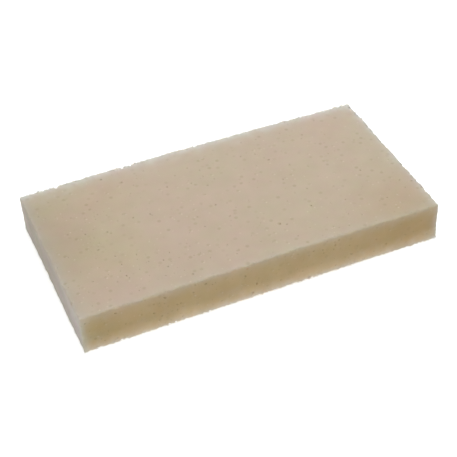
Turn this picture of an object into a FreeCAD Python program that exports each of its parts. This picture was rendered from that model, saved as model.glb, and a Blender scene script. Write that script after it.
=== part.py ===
import FreeCAD, Part
import os

# Hydro sponge: the plain block of open-cell foam that a tiler's washing float wears
# underneath. It is cut from a larger bun of foam with a band knife, so it is one piece
# with six flat faces, and nothing is moulded, glued or sewn to it.
#
# Frame: X runs along the length, Y across the width and Z up through the thickness.
# The origin is the middle of the face that the block lies on.

# Driving dimensions, in millimetres.
block_length = 280.0
block_width = 145.0
block_thickness = 32.0
corner_radius = 1.6  # the four upright edges, where two knife cuts meet
arris_radius = 0.9  # the eight edges round the two large faces


def is_upright(edge):
    """True where an edge runs straight up, parallel to Z."""
    low = edge.BoundBox.ZMin
    high = edge.BoundBox.ZMax
    return len(edge.Vertexes) == 2 and high - low > 0.5 * block_thickness


def lies_on(edge, height):
    """True where the whole edge lies in the horizontal plane at this height."""
    box = edge.BoundBox
    flat = 1e-6
    return abs(box.ZMin - height) < flat and abs(box.ZMax - height) < flat


def cut_foam_block():
    """The cut block: a rectangular slab whose edges are a little soft."""
    corner = FreeCAD.Vector(-block_length / 2, -block_width / 2, 0)
    slab = Part.makeBox(block_length, block_width, block_thickness, corner)
    slab = slab.makeFillet(corner_radius, [e for e in slab.Edges if is_upright(e)])
    rims = [e for e in slab.Edges if lies_on(e, 0) or lies_on(e, block_thickness)]
    return slab.makeFillet(arris_radius, rims)


parts = {"foam_block": cut_foam_block()}

os.makedirs("parts", exist_ok=True)
for node, shape in parts.items():
    shape.exportStep(f"parts/{node}.step")
    box = shape.BoundBox
    print(
        f"{node}: {len(shape.Solids)} solid, valid {shape.isValid()},",
        f"{box.XLength:.1f} x {box.YLength:.1f} x {box.ZLength:.1f} mm,",
        f"{shape.Volume / 1000:.1f} cm3",
    )
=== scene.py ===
# %% [markdown]
# # A hydro sponge
# A hydro sponge is the block of open-cell foam under a tiler's washing float. Such a
# block is cut dry from a large bun of foam, so its faces are flat knife cuts through
# thousands of cells, and its edges are ragged where a cut meets an open cell.
# The CAD block gives the size and the place. This file makes the foam that is seen:
# first the camera and the light, then the cut block, its pores and its ragged edges,
# and last the foam's colour and its fine cells.

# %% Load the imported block
import math
import random

import bmesh
import bpy
from mathutils import Matrix, Quaternion, Vector, noise


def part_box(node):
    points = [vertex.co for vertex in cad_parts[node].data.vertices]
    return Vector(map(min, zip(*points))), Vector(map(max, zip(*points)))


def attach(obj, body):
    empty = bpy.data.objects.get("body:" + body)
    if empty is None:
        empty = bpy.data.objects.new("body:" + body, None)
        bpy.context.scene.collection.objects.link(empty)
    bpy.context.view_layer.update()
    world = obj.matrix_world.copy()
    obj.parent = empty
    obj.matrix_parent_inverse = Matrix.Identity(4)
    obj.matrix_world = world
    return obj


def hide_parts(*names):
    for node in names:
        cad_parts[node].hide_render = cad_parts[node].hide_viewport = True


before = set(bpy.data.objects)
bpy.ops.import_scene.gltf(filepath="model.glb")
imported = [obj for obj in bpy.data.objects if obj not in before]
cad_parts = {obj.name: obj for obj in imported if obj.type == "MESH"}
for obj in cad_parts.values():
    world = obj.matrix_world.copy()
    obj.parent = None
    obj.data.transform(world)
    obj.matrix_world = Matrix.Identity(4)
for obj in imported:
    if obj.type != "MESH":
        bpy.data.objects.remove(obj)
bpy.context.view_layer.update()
MM = 0.001  # the scene is in metres, and small sizes below are written in millimetres
SQUARE_CM_PER_SQUARE_M = 1e4
X, Y, Z = 0, 1, 2  # along the length, across the width, and up through the thickness
low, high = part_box("foam_block")
size = high - low
half = size / 2
centre = (low + high) / 2
print("block, mm:", [round(side / MM, 1) for side in size])

# %% [markdown]
# The camera stands in front and to the left, above the block, with a long lens, so the
# block's edges run almost parallel. It is held a little out of level, as by hand.

# %% Camera
camera_data = bpy.data.cameras.new("camera")
camera_data.sensor_width = 36.0
camera_data.lens = 95.6
camera = bpy.data.objects.new("camera", camera_data)
bpy.context.scene.collection.objects.link(camera)
bpy.context.scene.camera = camera

aim = centre + Vector((-0.0043, -0.0125, 0.0))
camera_distance = 0.913
turned_left = math.radians(21.97)
looking_down = math.radians(40.88)
out_of_level = math.radians(-2.4)
backwards = Vector((
    -math.sin(turned_left) * math.cos(looking_down),
    -math.cos(turned_left) * math.cos(looking_down),
    math.sin(looking_down),
))
camera.location = aim + backwards * camera_distance
camera.rotation_mode = "QUATERNION"
level_view = (-backwards).to_track_quat("-Z", "Y")
camera.rotation_quaternion = level_view @ Quaternion((0, 0, 1), out_of_level)
print("camera at", [round(x, 3) for x in camera.location])

# %% [markdown]
# Every material below is built from nodes. One helper adds a node with its settings and
# its links, and another turns the usual hex colours into the linear ones that Blender
# computes with.

# %% Small helpers for colours and materials
def linear(hex_colour):
    """An sRGB hex colour as the linear RGBA that Blender's sockets take."""
    def one(channel):
        if channel <= 0.04045:
            return channel / 12.92
        return ((channel + 0.055) / 1.055) ** 2.4
    digits = hex_colour.lstrip("#")
    channels = [int(digits[i:i + 2], 16) / 255 for i in (0, 2, 4)]
    return tuple(one(c) for c in channels) + (1.0,)


def add(tree, kind, links=None, **settings):
    """Adds one node. Settings name its properties or its inputs, and links feed its inputs.

    An underscore stands for a space, and a setting such as input_1 fills input number 1.
    """
    node = tree.nodes.new(kind)
    for name, value in settings.items():
        if name.startswith("input_"):
            node.inputs[int(name[6:])].default_value = value
        elif hasattr(node, name):
            setattr(node, name, value)
        else:
            node.inputs[name.replace("_", " ")].default_value = value
    for name, source in (links or {}).items():
        tree.links.new(source.outputs[0] if hasattr(source, "outputs") else source,
                       node.inputs[name])
    return node


def fresh_tree(owner):
    """The owner's node tree, emptied."""
    owner.use_nodes = True
    owner.node_tree.nodes.clear()
    return owner.node_tree


# %% [markdown]
# The block lies on a light table: a white sheet that glows a little, so the background
# is white and the block's lower edges catch light from below. Far from the middle the
# lamps light the sheet less, so there it is given more glow, which only the eye sees.
# Rays that miss the sheet see a pure white room, but the room hardly lights the block.

# %% Floor and world
scene = bpy.context.scene
scene.view_settings.view_transform = "Standard"


def seen_directly(tree):
    """1 for rays that show the background to the eye: straight, mirrored or through glass."""
    path = add(tree, "ShaderNodeLightPath")
    either = add(tree, "ShaderNodeMath", {0: path.outputs["Is Camera Ray"],
                                          1: path.outputs["Is Glossy Ray"]},
                 operation="MAXIMUM")
    return add(tree, "ShaderNodeMath", {0: either, 1: path.outputs["Is Transmission Ray"]},
               operation="MAXIMUM")


room_glow = 0.03  # what the room lights the block with, where white is 1
scene.world = bpy.data.worlds.new("white_room")
tree = fresh_tree(scene.world)
dim = add(tree, "ShaderNodeBackground", Color=linear("#FFFFFF"), Strength=room_glow)
white = add(tree, "ShaderNodeBackground", Color=linear("#FFFFFF"), Strength=1.0)
room = add(tree, "ShaderNodeMixShader", {0: seen_directly(tree), 1: dim, 2: white})
add(tree, "ShaderNodeOutputWorld", {"Surface": room})

table_width = 6.0
below_block = 0.2 * MM  # the sheet lies this far under the block, so that they don't touch
bpy.ops.object.select_all(action="DESELECT")
bpy.ops.mesh.primitive_plane_add(size=table_width, location=(0, 0, low.z - below_block))
floor = bpy.context.active_object
floor.name = "floor"

table_glow = 0.46  # what the sheet gives of its own light, where white is 1
more_glow_near = 0.24  # what it is given on top of that, for the eye alone, near the block
more_glow_far = 1.1 - table_glow  # far out, where the lamps are weak, it is all white
rises_from = 0.25  # metres from the middle, where the added glow starts to rise
rises_to = 0.9
sheet = bpy.data.materials.new("light_table")
tree = fresh_tree(sheet)
on_sheet = add(tree, "ShaderNodeTexCoord").outputs["Object"]
far_out = add(tree, "ShaderNodeVectorMath", {0: on_sheet}, operation="LENGTH")
evened = add(tree, "ShaderNodeMapRange", {"Value": far_out.outputs["Value"]},
             From_Min=rises_from, From_Max=rises_to, To_Min=more_glow_near,
             To_Max=more_glow_far)
more = add(tree, "ShaderNodeMath", {0: evened, 1: seen_directly(tree)}, operation="MULTIPLY")
glow = add(tree, "ShaderNodeEmission", Color=linear("#FFFCF3"), Strength=table_glow)
extra = add(tree, "ShaderNodeEmission", {"Strength": more}, Color=linear("#EBF1FF"))
paper = add(tree, "ShaderNodeBsdfDiffuse", Color=linear("#E7E7E7"))
lit = add(tree, "ShaderNodeAddShader", {0: paper, 1: glow})
lit = add(tree, "ShaderNodeAddShader", {0: lit, 1: extra})
add(tree, "ShaderNodeOutputMaterial", {"Surface": lit})
floor.data.materials.append(sheet)
print("light table:", table_width, "metres wide")

# %% [markdown]
# A large soft lamp hangs overhead, and a smaller one stands low behind the block and
# brightens its back edge. A third one, small and very dim, stands at the left end and
# lifts the shade there a little.

# %% Lamps
def softbox(name, place, width, watts, colour):
    """A square area lamp that faces the block."""
    lamp = bpy.data.lights.new(name, "AREA")
    lamp.shape = "SQUARE"
    lamp.size = width
    lamp.energy = watts
    lamp.color = linear(colour)[:3]
    thing = bpy.data.objects.new(name, lamp)
    scene.collection.objects.link(thing)
    thing.location = place
    thing.rotation_mode = "QUATERNION"
    thing.rotation_quaternion = (centre - thing.location).to_track_quat("-Z", "Y")
    thing.visible_camera = False
    print("lamp:", name, watts, "W")


softbox("overhead", Vector((0.12, 0.0, 1.4)), width=1.0, watts=18.4, colour="#F7FBFF")
softbox("low_behind", Vector((0.0, 1.3, 0.15)), width=0.6, watts=5.5, colour="#FFFBF3")
softbox("dim_at_left", Vector((-0.27, -0.095, 0.07)), width=0.1, watts=0.015, colour="#FCF7FF")

# %% [markdown]
# The knife leaves flat faces, but soft foam never keeps a sharp edge: its arrises are
# about a millimetre round. The cube is bevelled first, and then every long edge is cut
# into short pieces, which gives the faces an even grid. The grid is needed at the end,
# when the whole block is bent a little, because a face without points can't bend. The
# rounded edges, and a narrow border inset along each of them, are cut finer, because they
# will be made ragged.

# %% The cut block
arris = 1.3 * MM
grid_pitch = 7.0 * MM
border = 2.0 * MM  # the width of the inset border, next to the rounded edge
ragged_pitch = 0.75 * MM
squarely = 0.99  # a face with a normal this near to an axis is one of the six flat ones
bpy.ops.object.select_all(action="DESELECT")
bpy.ops.mesh.primitive_cube_add(size=1, location=centre, scale=size)
foam = bpy.context.active_object
foam.name = "foam"
bpy.ops.object.transform_apply(location=True, rotation=True, scale=True)
bpy.ops.object.mode_set(mode="EDIT")
bpy.ops.mesh.select_all(action="SELECT")
bpy.ops.mesh.bevel(offset=arris, segments=3, affect="EDGES")
bpy.ops.mesh.select_all(action="DESELECT")
cage = bmesh.from_edit_mesh(foam.data)
for face in cage.faces:
    face.select_set(max(abs(x) for x in face.normal) > squarely)
bmesh.update_edit_mesh(foam.data)
bpy.ops.mesh.inset(thickness=border, use_individual=True)


def cut_long_edges(axis):
    """Cuts every long edge that runs along this axis into pieces of about the grid's pitch."""
    bpy.ops.mesh.select_all(action="DESELECT")
    cage = bmesh.from_edit_mesh(foam.data)
    for edge in cage.edges:
        run = edge.verts[1].co - edge.verts[0].co
        edge.select_set(abs(run[axis]) > half[axis])
    bmesh.update_edit_mesh(foam.data)
    bpy.ops.mesh.subdivide(number_cuts=round(size[axis] / grid_pitch))


def from_edge_of_block(point):
    """How far a point lies from the block's nearest edge, measured along the surface."""
    return sorted(half[i] - abs(point[i] - centre[i]) for i in range(3))[1]


for axis in (X, Y, Z):
    cut_long_edges(axis)
just_past_border = arris + 1.1 * border
bpy.ops.mesh.select_all(action="DESELECT")
cage = bmesh.from_edit_mesh(foam.data)
for edge in cage.edges:
    inner = max(from_edge_of_block(vertex.co) for vertex in edge.verts)
    if inner < just_past_border:
        edge.select_set(edge.calc_length() > 0.5 * grid_pitch)
bmesh.update_edit_mesh(foam.data)
bpy.ops.mesh.subdivide(number_cuts=round(grid_pitch / ragged_pitch) - 1)
bpy.ops.object.mode_set(mode="OBJECT")
print("grid faces:", len(foam.data.polygons))

# %% [markdown]
# A cut through foam opens the bubbles that it meets. Most are too fine to see one by
# one, but here and there a larger one leaves a round pore. A pore could be drawn in the
# colour alone, yet from the side it has to be a real hollow, so each is cut with a ball.
# The ball is modelled twice: with few faces for small pores, and with more for large
# ones. Each copy is squeezed and turned at random, and all of them are joined and cut out
# in one Boolean, which takes a second where one cut at a time would take minutes. Its
# fast solver needs balls that don't touch each other, so pores that run into each other
# are cut in a second round.

# %% The balls that cut the pores
round_ball_from = 0.9 * MM  # smaller pores are cut with the ball of only 20 faces
narrowest = 0.55  # the width of the most oval pore, as a share of its length
balls_by_detail = []
for subdivisions in (1, 2):
    bpy.ops.object.select_all(action="DESELECT")
    bpy.ops.mesh.primitive_ico_sphere_add(subdivisions=subdivisions, radius=1)
    balls_by_detail.append(bpy.context.active_object)
rough_ball, round_ball = balls_by_detail
far_more_small = 3  # a random number between 0 and 1 to this power is mostly small
more_small = 2
dice = random.Random(7)


def outwards(axis, side):
    """The outward normal of one of the block's six faces."""
    normal = Vector((0, 0, 0))
    normal[axis] = side
    return normal


def in_the_clear(place, radius, balls, gap):
    """Whether a ball here keeps clear of the others, by this many times their radii."""
    for other in balls:
        if (other["place"] - place).length < (other["radius"] + radius) * gap:
            return False
    return True


def pore(place, normal, radius):
    """One ball for a pore: a little oval and turned at random."""
    oval = dice.uniform(narrowest, 1.0)
    squeezed = Matrix.Diagonal((radius, radius * oval, radius, 1))
    turned = Matrix.Rotation(dice.uniform(0, math.pi), 4, "Z")
    aimed = normal.to_track_quat("Z", "Y").to_matrix().to_4x4()
    moved = Matrix.Translation(place) @ aimed @ turned @ squeezed
    return {"place": place, "radius": radius, "normal": normal, "matrix": moved}


def cut_out(balls):
    """Cuts all these balls out of the foam at once."""
    copies = []
    for one in balls:
        ball = round_ball if one["radius"] > round_ball_from else rough_ball
        copy = ball.copy()
        copy.data = ball.data.copy()
        copy.data.transform(one["matrix"])
        scene.collection.objects.link(copy)
        copies.append(copy)
    bpy.ops.object.select_all(action="DESELECT")
    for copy in copies:
        copy.select_set(True)
    bpy.context.view_layer.objects.active = copies[0]
    bpy.ops.object.join()
    cutter = bpy.context.active_object
    bpy.context.view_layer.objects.active = foam
    cut = foam.modifiers.new("cut", "BOOLEAN")
    cut.operation = "DIFFERENCE"
    cut.solver = "MANIFOLD"
    cut.object = cutter
    bpy.ops.object.modifier_apply(modifier="cut")
    bpy.data.objects.remove(cutter)


# %% [markdown]
# The pores are strewn at random, small ones far more often than large ones. Bubbles come
# in swarms, so a pore is kept more often where a smooth noise is high. The long sides and
# the ends have more pores than the two large faces, probably because a cut along the rise
# of the foam opens more cells than a cut across it. Here and there a bigger, deeper one
# lies on the large faces and the long sides.

# %% Where the pores lie
clear_of_edges = 1.8 * MM
swarm = 30 * MM  # how far apart the swarms lie
empty_below, full_above = -0.7, 0.4  # the noise that bars every pore, and that keeps them all
pore_gap = 1.1
balls = []


def strew(axis, side, per_square_cm, smallest, largest, raised):
    """Strews pores over one face of the block.

    The smallest and the largest are radii, and raised holds the least and the most that the
    middle of a ball lies above the face, as shares of its radius.
    """
    across = [other for other in (X, Y, Z) if other != axis]
    area_square_cm = size[across[0]] * size[across[1]] * SQUARE_CM_PER_SQUARE_M
    wanted = len(balls) + round(area_square_cm * per_square_cm)
    while len(balls) < wanted:
        radius = smallest + (largest - smallest) * dice.random() ** far_more_small
        place = centre.copy()
        for other in across:
            room_to_edge = half[other] - clear_of_edges
            place[other] += dice.uniform(-room_to_edge, room_to_edge)
        place += outwards(axis, side) * (half[axis] + dice.uniform(*raised) * radius)
        in_a_swarm = noise.noise(place / swarm) > dice.uniform(empty_below, full_above)
        if in_a_swarm and in_the_clear(place, radius, balls, pore_gap):
            balls.append(pore(place, outwards(axis, side), radius))


for side in (1, -1):
    strew(Z, side, 0.11, smallest=0.88 * MM, largest=1.44 * MM, raised=(0.47, 0.51))
    strew(Y, side, 0.22, smallest=0.93 * MM, largest=1.7 * MM, raised=(0.51, 0.55))
large_pores = len(balls)
# The axis that a face looks along, to which side, and its pores per square centimetre.
pores_per_square_cm = [
    (Z, 1, 1.0),
    (Z, -1, 0.8),
    (Y, 1, 3.8),
    (Y, -1, 3.8),
    (X, 1, 3.2),
    (X, -1, 3.2),
]
for axis, side, density in pores_per_square_cm:
    strew(axis, side, density, smallest=0.75 * MM, largest=1.55 * MM, raised=(0.5, 0.85))
cut_out(balls)
print("pores:", len(balls), "of them large:", large_pores, "faces:", len(foam.data.polygons))

# %% [markdown]
# Where two cuts meet, the cells along the edge are open on two sides and tear away, so
# the arrises are nicked all along. The same balls do it, centred on the rounded edge.
# Four edges are torn most and have some large nicks too, and three are torn least,
# probably where the knife went in.

# %% Nicks along the edges
narrow_nick = (0.42, 0.6)  # how long a nick is along its edge, as a share of its radius
middle_of_arris = math.pi / 4
anywhere_on_arris = (0.3, 1.3)  # radians round the arris, from one face to the other
clear_of_corners = 2 * arris
nick_gap = 1.05
smallest_nick = 0.4 * MM
largest_nick = 1.4 * MM  # apart from the large ones
smallest_large_nick = 1.5 * MM
nicks_per_mm = 0.35
nicks = []
# The direction an edge runs, on which side of the block it lies in X, Y and Z, how many
# large nicks it has, and the radius of the largest it could have.
most_torn = [
    (X, [0, 1, 1], 18, 3.2 * MM),
    (X, [0, -1, -1], 10, 3.0 * MM),
    (Y, [1, 0, 1], 7, 2.2 * MM),
    (Z, [1, -1, 0], 2, 2.4 * MM),
]
least_torn = [[0, -1, 1], [-1, 0, 1], [-1, -1, 0]]  # the sides of these three edges


def nick(along, sides, distance, turn, radius):
    """One ball for a nick: centred on a rounded edge, and narrow in the edge's direction.

    The edge runs along this axis, and the turn says how far round it the nick lies.
    """
    across = [axis for axis in (X, Y, Z) if axis != along]
    out = Vector((0, 0, 0))
    out[across[0]] = sides[across[0]] * math.cos(turn)
    out[across[1]] = sides[across[1]] * math.sin(turn)
    place = centre + out * arris
    place[along] += distance
    for axis in across:
        place[axis] += sides[axis] * (half[axis] - arris)
    narrow = Vector((radius, radius, radius, 1))
    narrow[along] *= dice.uniform(*narrow_nick)
    moved = Matrix.Translation(place) @ Matrix.Diagonal(narrow)
    return {"place": place, "radius": radius, "normal": out, "matrix": moved}


for along, sides, large_ones, largest in most_torn:
    wanted = len(nicks) + large_ones
    while len(nicks) < wanted:
        distance = dice.uniform(-1, 1) * (half[along] - clear_of_corners)
        spread = largest - smallest_large_nick
        radius = smallest_large_nick + spread * dice.random() ** more_small
        one = nick(along, sides, distance, middle_of_arris, radius)
        if in_the_clear(one["place"], radius, nicks, nick_gap):
            nicks.append(one)
for along in (X, Y, Z):
    across = [axis for axis in (X, Y, Z) if axis != along]
    for first in (-1, 1):
        for second in (-1, 1):
            sides = [0, 0, 0]
            sides[across[0]] = first
            sides[across[1]] = second
            for _ in range(round(size[along] / MM * nicks_per_mm)):
                distance = dice.uniform(-1, 1) * (half[along] - clear_of_corners)
                spread = largest_nick - smallest_nick
                radius = smallest_nick + spread * dice.random() ** far_more_small
                if sides in least_torn:
                    radius = radius / 2
                one = nick(along, sides, distance, dice.uniform(*anywhere_on_arris), radius)
                if in_the_clear(one["place"], radius, nicks, nick_gap):
                    nicks.append(one)
print("nicks:", len(nicks))

# %% [markdown]
# Two bubbles that grew side by side leave a double pore. The partner is a little smaller
# and opens into the first one, so its ball waits for this second round of cutting, which
# it shares with the nicks.

# %% Double pores
doubled = 0.2  # the share of the pores that get a partner
partner_radius = (0.5, 0.9)  # as a share of the first pore's radius
partner_beyond = 0.3  # how far its middle lies outside the first, as a share of its radius
for one in balls:
    if dice.random() < doubled:
        radius = one["radius"] * dice.uniform(*partner_radius)
        sideways = one["normal"].orthogonal().normalized()
        sideways.rotate(Quaternion(one["normal"], dice.uniform(0, 2 * math.pi)))
        place = one["place"] + sideways * (one["radius"] + partner_beyond * radius)
        if in_the_clear(place, radius, nicks, pore_gap):
            nicks.append(pore(place, one["normal"], radius))
cut_out(nicks)
for ball in balls_by_detail:
    bpy.data.objects.remove(ball)
print("nicks and double pores:", len(nicks), "faces:", len(foam.data.polygons))

# %% [markdown]
# The material has to know two things that are easy to measure now, while the block is
# still straight: where on the straight block each point lies, and how deep it lies
# inside a pore. Both are kept as attributes of the mesh.

# %% Places and depths, kept for the material
def depth_below(point):
    """How deep a point lies below the surface of the plain rounded block."""
    inner = half - Vector((arris, arris, arris))
    beyond = Vector([abs(point[i] - centre[i]) - inner[i] for i in range(3)])
    outside = Vector([max(x, 0.0) for x in beyond])
    return arris - outside.length - min(max(beyond), 0.0)


mesh = foam.data
mesh.attributes.new("straight_place", "FLOAT_VECTOR", "POINT")
mesh.attributes.new("pore_depth", "FLOAT", "POINT")
straight_place = mesh.attributes["straight_place"].data
pore_depth = mesh.attributes["pore_depth"].data
for vertex in mesh.vertices:
    straight_place[vertex.index].vector = vertex.co - centre
    pore_depth[vertex.index].value = max(depth_below(vertex.co), 0.0) / MM
print("deepest pore, mm:", round(max(d.value for d in pore_depth), 2))

# %% [markdown]
# No block of foam is quite flat or quite straight. This one is slightly bowed: its middle
# stands about a millimetre proud, its ends and its back edge bulge, its foot spreads at
# the front, and its faces wander a little. A lattice could do it, but a smooth noise is
# simpler. Its edges are torn too: deep and fine along most of them, and in longer, softer
# waves all round the left end and along the top of the front, which is probably where the
# knife went in.

# %% The bow, the waves and the torn edges
bow_height = 0.9 * MM
back_bulge = 1.15 * MM
left_bulge = 0.42 * MM
right_bulge = 0.65 * MM
foot_spread = 1.5 * MM
less_to_right = 0.8  # the share of the back's bulge that is gone at the right end
held_by_table = 0.9  # the share of the right bulge and of the waves that is gone at the foot
wave_length = 60 * MM
wave_height = 0.35 * MM
ripple_length = 14 * MM
ripple_height = 0.08 * MM
# How long the tears are, how deep they are, and how deep where the knife went in.
tears = [(1.3 * MM, 2.0 * MM, 0.5 * MM), (6 * MM, 0.2 * MM, 0.6 * MM)]
entry_width = 8 * MM
corner_reach = 3.5 * MM  # the bevel rounds the eight corners too much, so they are drawn out
corner_pull = 0.4 * MM
noise.seed_set(9)  # without it, noise_vector would give other waves in every run
for vertex in mesh.vertices:
    place = vertex.co - centre
    along = place.x / half.x
    middle = 1 - along * along
    at_back = 0.5 + 0.5 * place.y / half.y
    low_down = 0.5 - 0.5 * place.z / half.z
    wave = noise.noise_vector(place / wave_length) * wave_height
    wave += noise.noise_vector(place / ripple_length) * ripple_height
    ragged = max(0.0, 1 - from_edge_of_block(vertex.co) / (arris + border))
    at_front = max(0.0, 1 - (half.y + place.y) / entry_width) * (1 - low_down)
    at_entry = max(at_front, 1 - (half.x + place.x) / entry_width)
    for tear_length, tear_height, height_at_entry in tears:
        height = tear_height + (height_at_entry - tear_height) * at_entry
        wave += noise.noise_vector(place / tear_length) * height * ragged
    at_corner = max(0.0, 1 - max(half[i] - abs(place[i]) for i in range(3)) / corner_reach)
    for i in range(3):
        wave[i] += math.copysign(corner_pull, place[i]) * at_corner
    wave.z *= 1 - held_by_table * low_down
    end_bulge = left_bulge * (1 - low_down * at_back)
    if along > 0:
        end_bulge = right_bulge * (1 - held_by_table * low_down)
    at_back_edge = back_bulge * middle * (1 - less_to_right * along) * at_back
    at_front_foot = foot_spread * low_down * (1 - at_back)
    bulge = Vector((
        end_bulge * along ** 3,
        at_back_edge - at_front_foot,
        bow_height * middle,
    ))
    vertex.co += bulge + wave
lowest = min(vertex.co.z for vertex in mesh.vertices)
mesh.transform(Matrix.Translation((0, 0, low.z - lowest)))
mesh.update()

sharp_from = math.radians(35)  # a pore's rim stays crisp, and the wavy faces are smooth
bpy.ops.object.select_all(action="DESELECT")
foam.select_set(True)
bpy.context.view_layer.objects.active = foam
bpy.ops.object.shade_smooth_by_angle(angle=sharp_from)
mesh.calc_loop_triangles()
print("triangles:", len(mesh.loop_triangles), "lowest, mm:", round(lowest / MM, 2))

# %% [markdown]
# For programs that can't run a Blender material, the colours can be baked onto a picture.
# Cutting the surface up automatically would give every pore its own scrap of that picture,
# so the block's faces are folded out one by one, like a carton: six flat faces on one
# square sheet, all at the same scale. A pore keeps its place in the face that it was cut into.

# %% The fold-out sheet
panel_gap = 4 * MM
second_column = size.x + panel_gap
second_row = size.y + panel_gap
third_row = 2 * second_row
fourth_row = third_row + size.z + panel_gap
sheet_side = fourth_row + size.z + panel_gap
# The axis that a face looks along and to which side, the axis that runs across the sheet
# and which way, the axis that runs up it, and where the face's corner lies.
fold_out = [
    ((Z, 1), (X, 1), Y, (0, 0)),
    ((X, -1), (Z, 1), Y, (second_column, 0)),
    ((Z, -1), (X, -1), Y, (0, second_row)),
    ((X, 1), (Z, -1), Y, (second_column, second_row)),
    ((Y, -1), (X, 1), Z, (0, third_row)),
    ((Y, 1), (X, -1), Z, (0, fourth_row)),
]


def below_face(point, panel):
    """How far a point of the straight block lies below one of the six faces."""
    axis, side = panel[0]
    return half[axis] - side * point[axis]


mesh.uv_layers.new(name="OFBake")
laid_flat = mesh.uv_layers["OFBake"].data
straight_place = mesh.attributes["straight_place"].data  # a new layer moves the others
for face in mesh.polygons:
    points = [straight_place[index].vector for index in face.vertices]
    middle = sum(points, Vector()) / len(points)
    nearest = min(fold_out, key=lambda panel: below_face(middle, panel))
    (across, way), up, corner = nearest[1:]
    for loop, point in zip(face.loop_indices, points):
        to_right = corner[0] + half[across] + way * point[across]
        upwards = corner[1] + half[up] + point[up]
        laid_flat[loop].uv = (to_right / sheet_side, upwards / sheet_side)
print("fold-out sheet, mm:", round(sheet_side / MM, 1))

# %% [markdown]
# The foam is cream polyurethane of the open kind that takes up water, so it is matt all
# over: light that falls on it goes a few millimetres in among the thin cell walls and
# comes out again soft. That is subsurface scattering, and it is what makes foam look like
# foam and not like plaster. Every colour below is mixed into that one material, the foam's
# own tints and the painted light and shade alike, and all of them are placed by where a
# point lay on the straight block, so nothing slides over the surface. The first thing to
# know is how far a point lies from each face, and so which face it belongs to. One face's
# colour passes softly to the next one's, along a border that wanders a little, and the
# top's colour runs a little over its edge.

# %% Foam: which face a point belongs to
noise_low, noise_high = 0.3, 0.7  # nearly all that a noise texture gives lies in between
turn = 2.0 * MM  # half of the width over which one face's colour passes to the next one's
turn_at_end = 4.0 * MM  # the same where a face meets an end, which is softer
spill = 1.4 * MM  # how far the top's colour runs over its edge, and a side's under the foot
no_spill_behind = 12 * MM  # from here to the back edge, the top's spill narrows to nothing
blot_size = 6 * MM
blot_shift = 1.2 * MM  # how far the border wanders to either side

foam_material = bpy.data.materials.new("cream_polyurethane_foam")
tree = fresh_tree(foam_material)
straight = add(tree, "ShaderNodeAttribute", attribute_name="straight_place").outputs["Vector"]
mirrored = add(tree, "ShaderNodeVectorMath", {0: straight}, operation="ABSOLUTE")
inset = add(tree, "ShaderNodeVectorMath", {1: mirrored}, operation="SUBTRACT", input_0=half)
from_face = add(tree, "ShaderNodeSeparateXYZ", {0: inset}).outputs
from_middle = add(tree, "ShaderNodeSeparateXYZ", {0: straight}).outputs
top_ends = add(tree, "ShaderNodeMapRange", {"Value": from_middle[Y]},
               From_Min=half.y - no_spill_behind, From_Max=half.y, To_Min=half.z - spill,
               To_Max=half.z)
from_top = add(tree, "ShaderNodeMath", {0: top_ends, 1: from_middle[Z]}, operation="SUBTRACT")
from_foot = add(tree, "ShaderNodeMath", {0: from_middle[Z]}, operation="ADD",
                input_1=half.z + spill)
from_large = add(tree, "ShaderNodeMath", {0: from_top, 1: from_foot}, operation="MINIMUM")
blot = add(tree, "ShaderNodeTexNoise", {"Vector": straight}, Scale=1 / blot_size, Detail=2.0)
blot = add(tree, "ShaderNodeMapRange", {"Value": blot}, From_Min=noise_low,
           From_Max=noise_high, To_Min=-blot_shift, To_Max=blot_shift)
past = add(tree, "ShaderNodeMath", {0: from_large, 1: from_face[Y]}, operation="SUBTRACT")
past = add(tree, "ShaderNodeMath", {0: past, 1: blot}, operation="ADD")
on_long_side = add(tree, "ShaderNodeMapRange", {"Value": past}, From_Min=-turn, From_Max=turn,
                   interpolation_type="SMOOTHSTEP")
past = add(tree, "ShaderNodeMath", {0: from_large, 1: from_face[Y]}, operation="MINIMUM")
past = add(tree, "ShaderNodeMath", {0: past, 1: from_face[X]}, operation="SUBTRACT")
past = add(tree, "ShaderNodeMath", {0: past, 1: blot}, operation="ADD")
on_end = add(tree, "ShaderNodeMapRange", {"Value": past}, From_Min=-turn_at_end,
             From_Max=turn_at_end, interpolation_type="SMOOTHSTEP")

# %% [markdown]
# Foam rises as it is blown, and its cells stretch upwards. A cut across the rise shows
# them round and a cut along it shows them long, which probably makes the faces differ a
# little in colour. Much of the difference here is painted light, though. The large faces
# are paler and greyer, with a painted sheen from the lamp above, and the long sides are a
# shade browner, with the warm light from the table painted in. The left end is a shade
# greyer and pinker, with painted cool shade, and the right one a warmer beige, with no
# painted light.

# %% Foam: the colour of each face, with painted light
# The first three colours hold painted light: a sheen on the large faces, warm light on the
# long sides and shade on the left end.
large_face_colour_with_sheen = linear("#D6C1AF")
long_side_colour_with_warm_light = linear("#D9BE90")
left_end_colour_with_shade = linear("#DCD1D7")
right_end_colour = linear("#DCCDB6")
colour = add(tree, "ShaderNodeMix", {0: on_long_side}, data_type="RGBA",
             input_6=large_face_colour_with_sheen, input_7=long_side_colour_with_warm_light).outputs[2]
at_right = add(tree, "ShaderNodeMath", {0: from_middle[X]}, operation="GREATER_THAN",
               input_1=0.0)
end_colour = add(tree, "ShaderNodeMix", {0: at_right}, data_type="RGBA",
                 input_6=left_end_colour_with_shade, input_7=right_end_colour).outputs[2]
colour = add(tree, "ShaderNodeMix", {0: on_end, 6: colour, 7: end_colour},
             data_type="RGBA").outputs[2]

# %% [markdown]
# Here the left third and the front right corner are a little darker, greyer, greener or
# yellower than the rest, in broad soft patches that run into each other. The grey darkening
# over the left end and at the front of its foot is painted shade; the greener and yellower
# patches are the foam's uneven tone. Each is a ball in space that tints what lies in it.

# %% Foam: stains and painted shade
blotch_core = 0.2  # the share of a stain's reach that has its full tint
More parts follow.
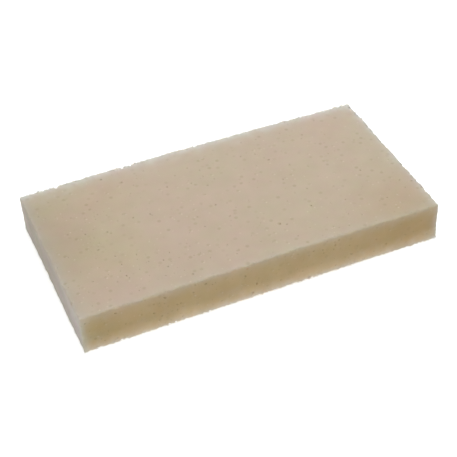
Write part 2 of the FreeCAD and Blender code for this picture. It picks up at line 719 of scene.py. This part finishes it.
# Where each patch is, from the middle of the block, how far it reaches, and its tint.
# The first, second and fourth are painted shade: they darken the left end and the front of its
# foot.
stains_and_painted_shade = [
    (Vector((-150, 5, 0)) * MM, 85 * MM, "#FAFAFA"),
    (Vector((-142, 12, -6)) * MM, 62 * MM, "#F1EEE7"),
    (Vector((130, -75, 0)) * MM, 75 * MM, "#F6F0E7"),
    (Vector((-146, -50, -16)) * MM, 26 * MM, "#F3F2F1"),
    (Vector((-129, -80, -3)) * MM, 25 * MM, "#F5F8ED"),
    (Vector((-138, 62, 16)) * MM, 42 * MM, "#F8F9F2"),
    (Vector((-84, 42, 16)) * MM, 48 * MM, "#FDFCF7"),
    (Vector((-97, -18, 16)) * MM, 48 * MM, "#FDFEF7"),
]
for blotch_place, blotch_reach, blotch_tint in stains_and_painted_shade:
    away = add(tree, "ShaderNodeVectorMath", {0: straight}, operation="DISTANCE",
               input_1=blotch_place)
    share = add(tree, "ShaderNodeMapRange", {"Value": away.outputs["Value"]},
                From_Min=blotch_core * blotch_reach, From_Max=blotch_reach, To_Min=1.0,
                To_Max=0.0, interpolation_type="SMOOTHSTEP")
    colour = add(tree, "ShaderNodeMix", {0: share, 6: colour}, data_type="RGBA",
                 blend_type="MULTIPLY", input_7=linear(blotch_tint)).outputs[2]
print("stains:", len(stains_and_painted_shade))

# %% [markdown]
# Low down, a long side glows warm, probably because light from the table comes up through
# the foot of the block, and thick foam takes the blue out of it. The shader's scattering
# alone doesn't show that strongly enough, so the glow is mixed into the colour.

# %% Foam: the warm foot
warm_from = 14 * MM  # above the table, where a long side starts to turn warm
warmest_at = 4 * MM
warmth = 0.37
only_long = add(tree, "ShaderNodeMath", {0: on_long_side, 1: on_end}, operation="SUBTRACT",
                use_clamp=True)
warm = add(tree, "ShaderNodeMapRange", {"Value": from_middle[Z], "To Max": only_long},
           From_Min=-half.z + warm_from, From_Max=-half.z + warmest_at, To_Min=0.0,
           interpolation_type="SMOOTHSTEP")
warm = add(tree, "ShaderNodeMath", {0: warm}, operation="MULTIPLY", input_1=warmth)
colour = add(tree, "ShaderNodeMix", {0: warm, 6: colour}, data_type="RGBA",
             input_7=linear("#FFDC96")).outputs[2]

# %% [markdown]
# Towards its edges the foam is painted paler and greyer. This is painted light: the glow
# that the bright table and the lamps give the thin edges, where light comes through. Each
# rim has its own strength on each kind of face, most at the back, the right end and the
# foot, so a table says how strong each one is. The first one isn't pale: it is a wider
# band, darker and yellower, which shows behind the narrow rim at the left of the large
# faces. A rim fades inwards fast at first, and then slowly. That is an exponential.

# %% Foam: the pale rims, painted light
patch_size = 9 * MM
slow_fading, fast_fading = 0.75, 1.25  # a rim fades faster in one patch than in another
patch = add(tree, "ShaderNodeTexNoise", {"Vector": straight}, Scale=1 / patch_size, Detail=2.0)
uneven = add(tree, "ShaderNodeMapRange", {"Value": patch}, From_Min=noise_low,
             From_Max=noise_high, To_Min=slow_fading, To_Max=fast_fading)
# The axis and the side that a rim starts from, how strong it is there on the large faces,
# on the long sides and on the ends, how far it reaches, and its colour.
# All but the first are painted light along the edges.
painted_rims = [
    (X, -1, 0.18, 0.0, 0.0, 14.0 * MM, "#C9C08E"),
    (X, -1, 0.5, 0.0, 0.0, 5.0 * MM, "#C2BEC6"),
    (X, -1, 0.0, 0.9, 0.0, 3.0 * MM, "#E2E6DA"),
    (X, 1, 0.5, 0.0, 0.0, 7.0 * MM, "#CDC9B4"),
    (X, 1, 0.65, 0.0, 0.0, 2.2 * MM, "#F0F0FC"),
    (X, 1, 0.0, 1.0, 0.0, 2.4 * MM, "#F4F7FF"),
    (Y, -1, 0.3, 0.0, 0.0, 4.0 * MM, "#D4D9CE"),
    (Y, 1, 0.0, 0.0, 0.75, 8.0 * MM, "#E9E4E6"),
    (Y, -1, 0.0, 0.0, 0.4, 8.0 * MM, "#DCDAE4"),
    (Y, 1, 0.97, 0.0, 0.0, 4.4 * MM, "#E8ECF2"),
    (Z, 1, 0.0, 0.9, 0.0, 3.8 * MM, "#E6DCC8"),
    (Z, 1, 0.0, 0.0, 0.5, 3.0 * MM, "#DED6D0"),
    (Z, -1, 0.0, 0.0, 0.9, 5.5 * MM, "#E2E2E6"),
    (Z, -1, 0.0, 1.0, 0.0, 3.9 * MM, "#FDFCFF"),
]


def by_face(on_large_face, on_long, on_short):
    """A number that differs between the large faces, the long sides and the ends."""
    number = add(tree, "ShaderNodeMapRange", {"Value": on_long_side}, To_Min=on_large_face,
                 To_Max=on_long)
    return add(tree, "ShaderNodeMapRange", {"Value": on_end, "To Min": number},
               To_Max=on_short)


for axis, side, on_large_face, on_long, on_short, reach, painted_rim_colour in painted_rims:
    inwards = add(tree, "ShaderNodeMapRange", {"Value": from_middle[axis], "To Max": uneven},
                  From_Min=side * half[axis], From_Max=side * (half[axis] - reach),
                  To_Min=0.0, clamp=False)
    fading = add(tree, "ShaderNodeMath", {1: inwards}, operation="POWER", input_0=math.exp(-1))
    strength = by_face(on_large_face, on_long, on_short)
    rim = add(tree, "ShaderNodeMath", {0: fading, 1: strength}, operation="MULTIPLY",
              use_clamp=True)
    colour = add(tree, "ShaderNodeMix", {0: rim, 6: colour}, data_type="RGBA",
                 input_7=linear(painted_rim_colour)).outputs[2]
print("rims:", len(painted_rims))

# %% [markdown]
# No foam is one colour all over. It is a little pinker here and greener there, and a little
# denser or more open, which makes it darker or paler. A few noises do that. The last two
# are on the long sides and the ends alone, which differ more from place to place, probably
# because the knife ran along the stretched cells there and not across them.

# %% Foam: the clouds
# How far apart the clouds lie, their two tints, and how strong they are on the large faces,
# on the long sides and on the ends.
clouds = [
    (38 * MM, "#FFF6F8", "#F6FFEE", 0.8, 0.3, 0.6),
    (15 * MM, "#FFFFFF", "#F0EEEA", 0.8, 0.6, 0.6),
    (7 * MM, "#FFF4F8", "#F8FFEC", 0.6, 0.3, 0.8),
    (14 * MM, "#FFFFFF", "#D8D5D2", 0.0, 0.38, 0.6),
    (11 * MM, "#FFF4F8", "#F5FFEC", 0.0, 0.2, 1.0),
]
for apart, one_tint, other_tint, on_large_face, on_long, on_short in clouds:
    cloud = add(tree, "ShaderNodeTexNoise", {"Vector": straight}, Scale=1 / apart, Detail=1.0)
    tint = add(tree, "ShaderNodeMix", {0: cloud}, data_type="RGBA", input_6=linear(one_tint),
               input_7=linear(other_tint)).outputs[2]
    strength = by_face(on_large_face, on_long, on_short)
    colour = add(tree, "ShaderNodeMix", {0: strength, 6: colour, 7: tint}, data_type="RGBA",
                 blend_type="MULTIPLY").outputs[2]
print("clouds:", len(clouds))

# %% [markdown]
# Inside a pore the light is lost, and the foam looks brown. Near the edges that is left
# out, because the nicks there are as pale as the rims.

# %% Foam: the shade inside the pores
shade_brown = linear("#8F7A50")
shade_share = 0.14  # how brown the foam gets deep in a pore
depth_from, depth_to = 0.02, 0.35  # in millimetres, as pore_depth is
not_before = 0.5 * MM  # from the edge, where the shade starts
in_full_from = 3 * MM
least = add(tree, "ShaderNodeMath", {0: from_face[X], 1: from_face[Y]}, operation="MINIMUM")
most = add(tree, "ShaderNodeMath", {0: from_face[X], 1: from_face[Y]}, operation="MAXIMUM")
most = add(tree, "ShaderNodeMath", {0: most, 1: from_face[Z]}, operation="MINIMUM")
from_edge = add(tree, "ShaderNodeMath", {0: least, 1: most}, operation="MAXIMUM")
depth = add(tree, "ShaderNodeAttribute", attribute_name="pore_depth").outputs["Fac"]
darkest = add(tree, "ShaderNodeMapRange", {"Value": from_edge}, From_Min=not_before,
              From_Max=in_full_from, To_Min=0.0, To_Max=shade_share)
shaded = add(tree, "ShaderNodeMapRange", {"Value": depth, "To Max": darkest},
             From_Min=depth_from, From_Max=depth_to, To_Min=0.0)
colour = add(tree, "ShaderNodeMix", {0: shaded, 6: colour}, data_type="RGBA",
             input_7=shade_brown).outputs[2]

# %% [markdown]
# The finest cells are left to the material: dark pinpricks, which are painted shade where
# a cell is cut open, and pale flecks, which are painted highlights where a cell wall faces
# the light. Both are Voronoi cells in space, so a face cuts through them at random depths
# and shows them in all sizes, just as a knife does with real bubbles. The real ones are
# well under a millimetre wide and lie as close together, which is too fine to show. So they
# are drawn coarser: fewer spots, up to four millimetres wide and five to seven millimetres
# apart, each of them faint.

# %% Foam: pinpricks and flecks, painted shade and highlights
own_low, own_high = 0.2, 0.8  # most of a cell's random values lie between these
spot_core = 0.5  # the share of a spot's radius that has its full colour
# How far apart the spots lie, how far they are moved, their radius, their colour, and how
# strong they are on average. The first two are the same cells, so each dark spot has a pale
# one beside it.
spots = [
    (6.8 * MM, Vector((0, 0, 0)), 1.9 * MM, "#8F7A50", 0.112),
    (6.8 * MM, Vector((-0.8, 1.3, 1.3)) * MM, 0.9 * MM, "#F4EAD2", 0.13),
    (4.9 * MM, Vector((9, 9, 9)) * MM, 0.7 * MM, "#F4EAD2", 0.135),
]
for apart, moved_by, spot_radius, spot_colour, strength in spots:
    moved = add(tree, "ShaderNodeVectorMath", {0: straight}, operation="ADD", input_1=moved_by)
    scattered = add(tree, "ShaderNodeTexVoronoi", {"Vector": moved}, Scale=1 / apart).outputs
    own_strength = add(tree, "ShaderNodeMapRange", {"Value": scattered["Color"]},
                       From_Min=own_low, From_Max=own_high, To_Min=0.0, To_Max=2 * strength)
    share = add(tree, "ShaderNodeMapRange", {"Value": scattered["Distance"],
                                             "To Min": own_strength},
                From_Min=spot_core * spot_radius / apart, From_Max=spot_radius / apart,
                To_Max=0.0)
    colour = add(tree, "ShaderNodeMix", {0: share, 6: colour}, data_type="RGBA",
                 input_7=linear(spot_colour)).outputs[2]
print("kinds of spots:", len(spots))

# %% [markdown]
# The cell walls also make the surface a little rough to the touch, and a bump shows that.
# Its cells are drawn a millimetre wide, which is coarser than the real ones too.
# Polyurethane has an index of refraction of about 1.5, which is what the shader starts
# with, and its many fine walls scatter the light so well that almost no gloss is left. Red
# light goes a little further in than blue light, which keeps the foam's thin edges warm.

# %% Foam: its surface
cell_width = 1.0 * MM
wall_height = 0.1 * MM
light_goes_in = 6 * MM
further_for_red = (1.0, 0.88, 0.75)  # how far red, green and blue light go, as shares of it
cells = add(tree, "ShaderNodeTexVoronoi", {"Vector": straight}, Scale=1 / cell_width)
walls = add(tree, "ShaderNodeBump", {"Height": cells.outputs["Distance"]}, Strength=0.3,
            Distance=wall_height)
surface = add(tree, "ShaderNodeBsdfPrincipled", {"Base Color": colour, "Normal": walls},
              Roughness=0.9, Subsurface_Weight=1.0, Subsurface_Scale=light_goes_in,
              Subsurface_Radius=further_for_red)
add(tree, "ShaderNodeOutputMaterial", {"Surface": surface})
mesh.materials.clear()
mesh.materials.append(foam_material)
print("foam material, nodes:", len(tree.nodes))

# %% [markdown]
# The foam is one soft piece that fills the whole of the CAD block, so it takes that
# block's place.

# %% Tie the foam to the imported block
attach(foam, "root")
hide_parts("foam_block")
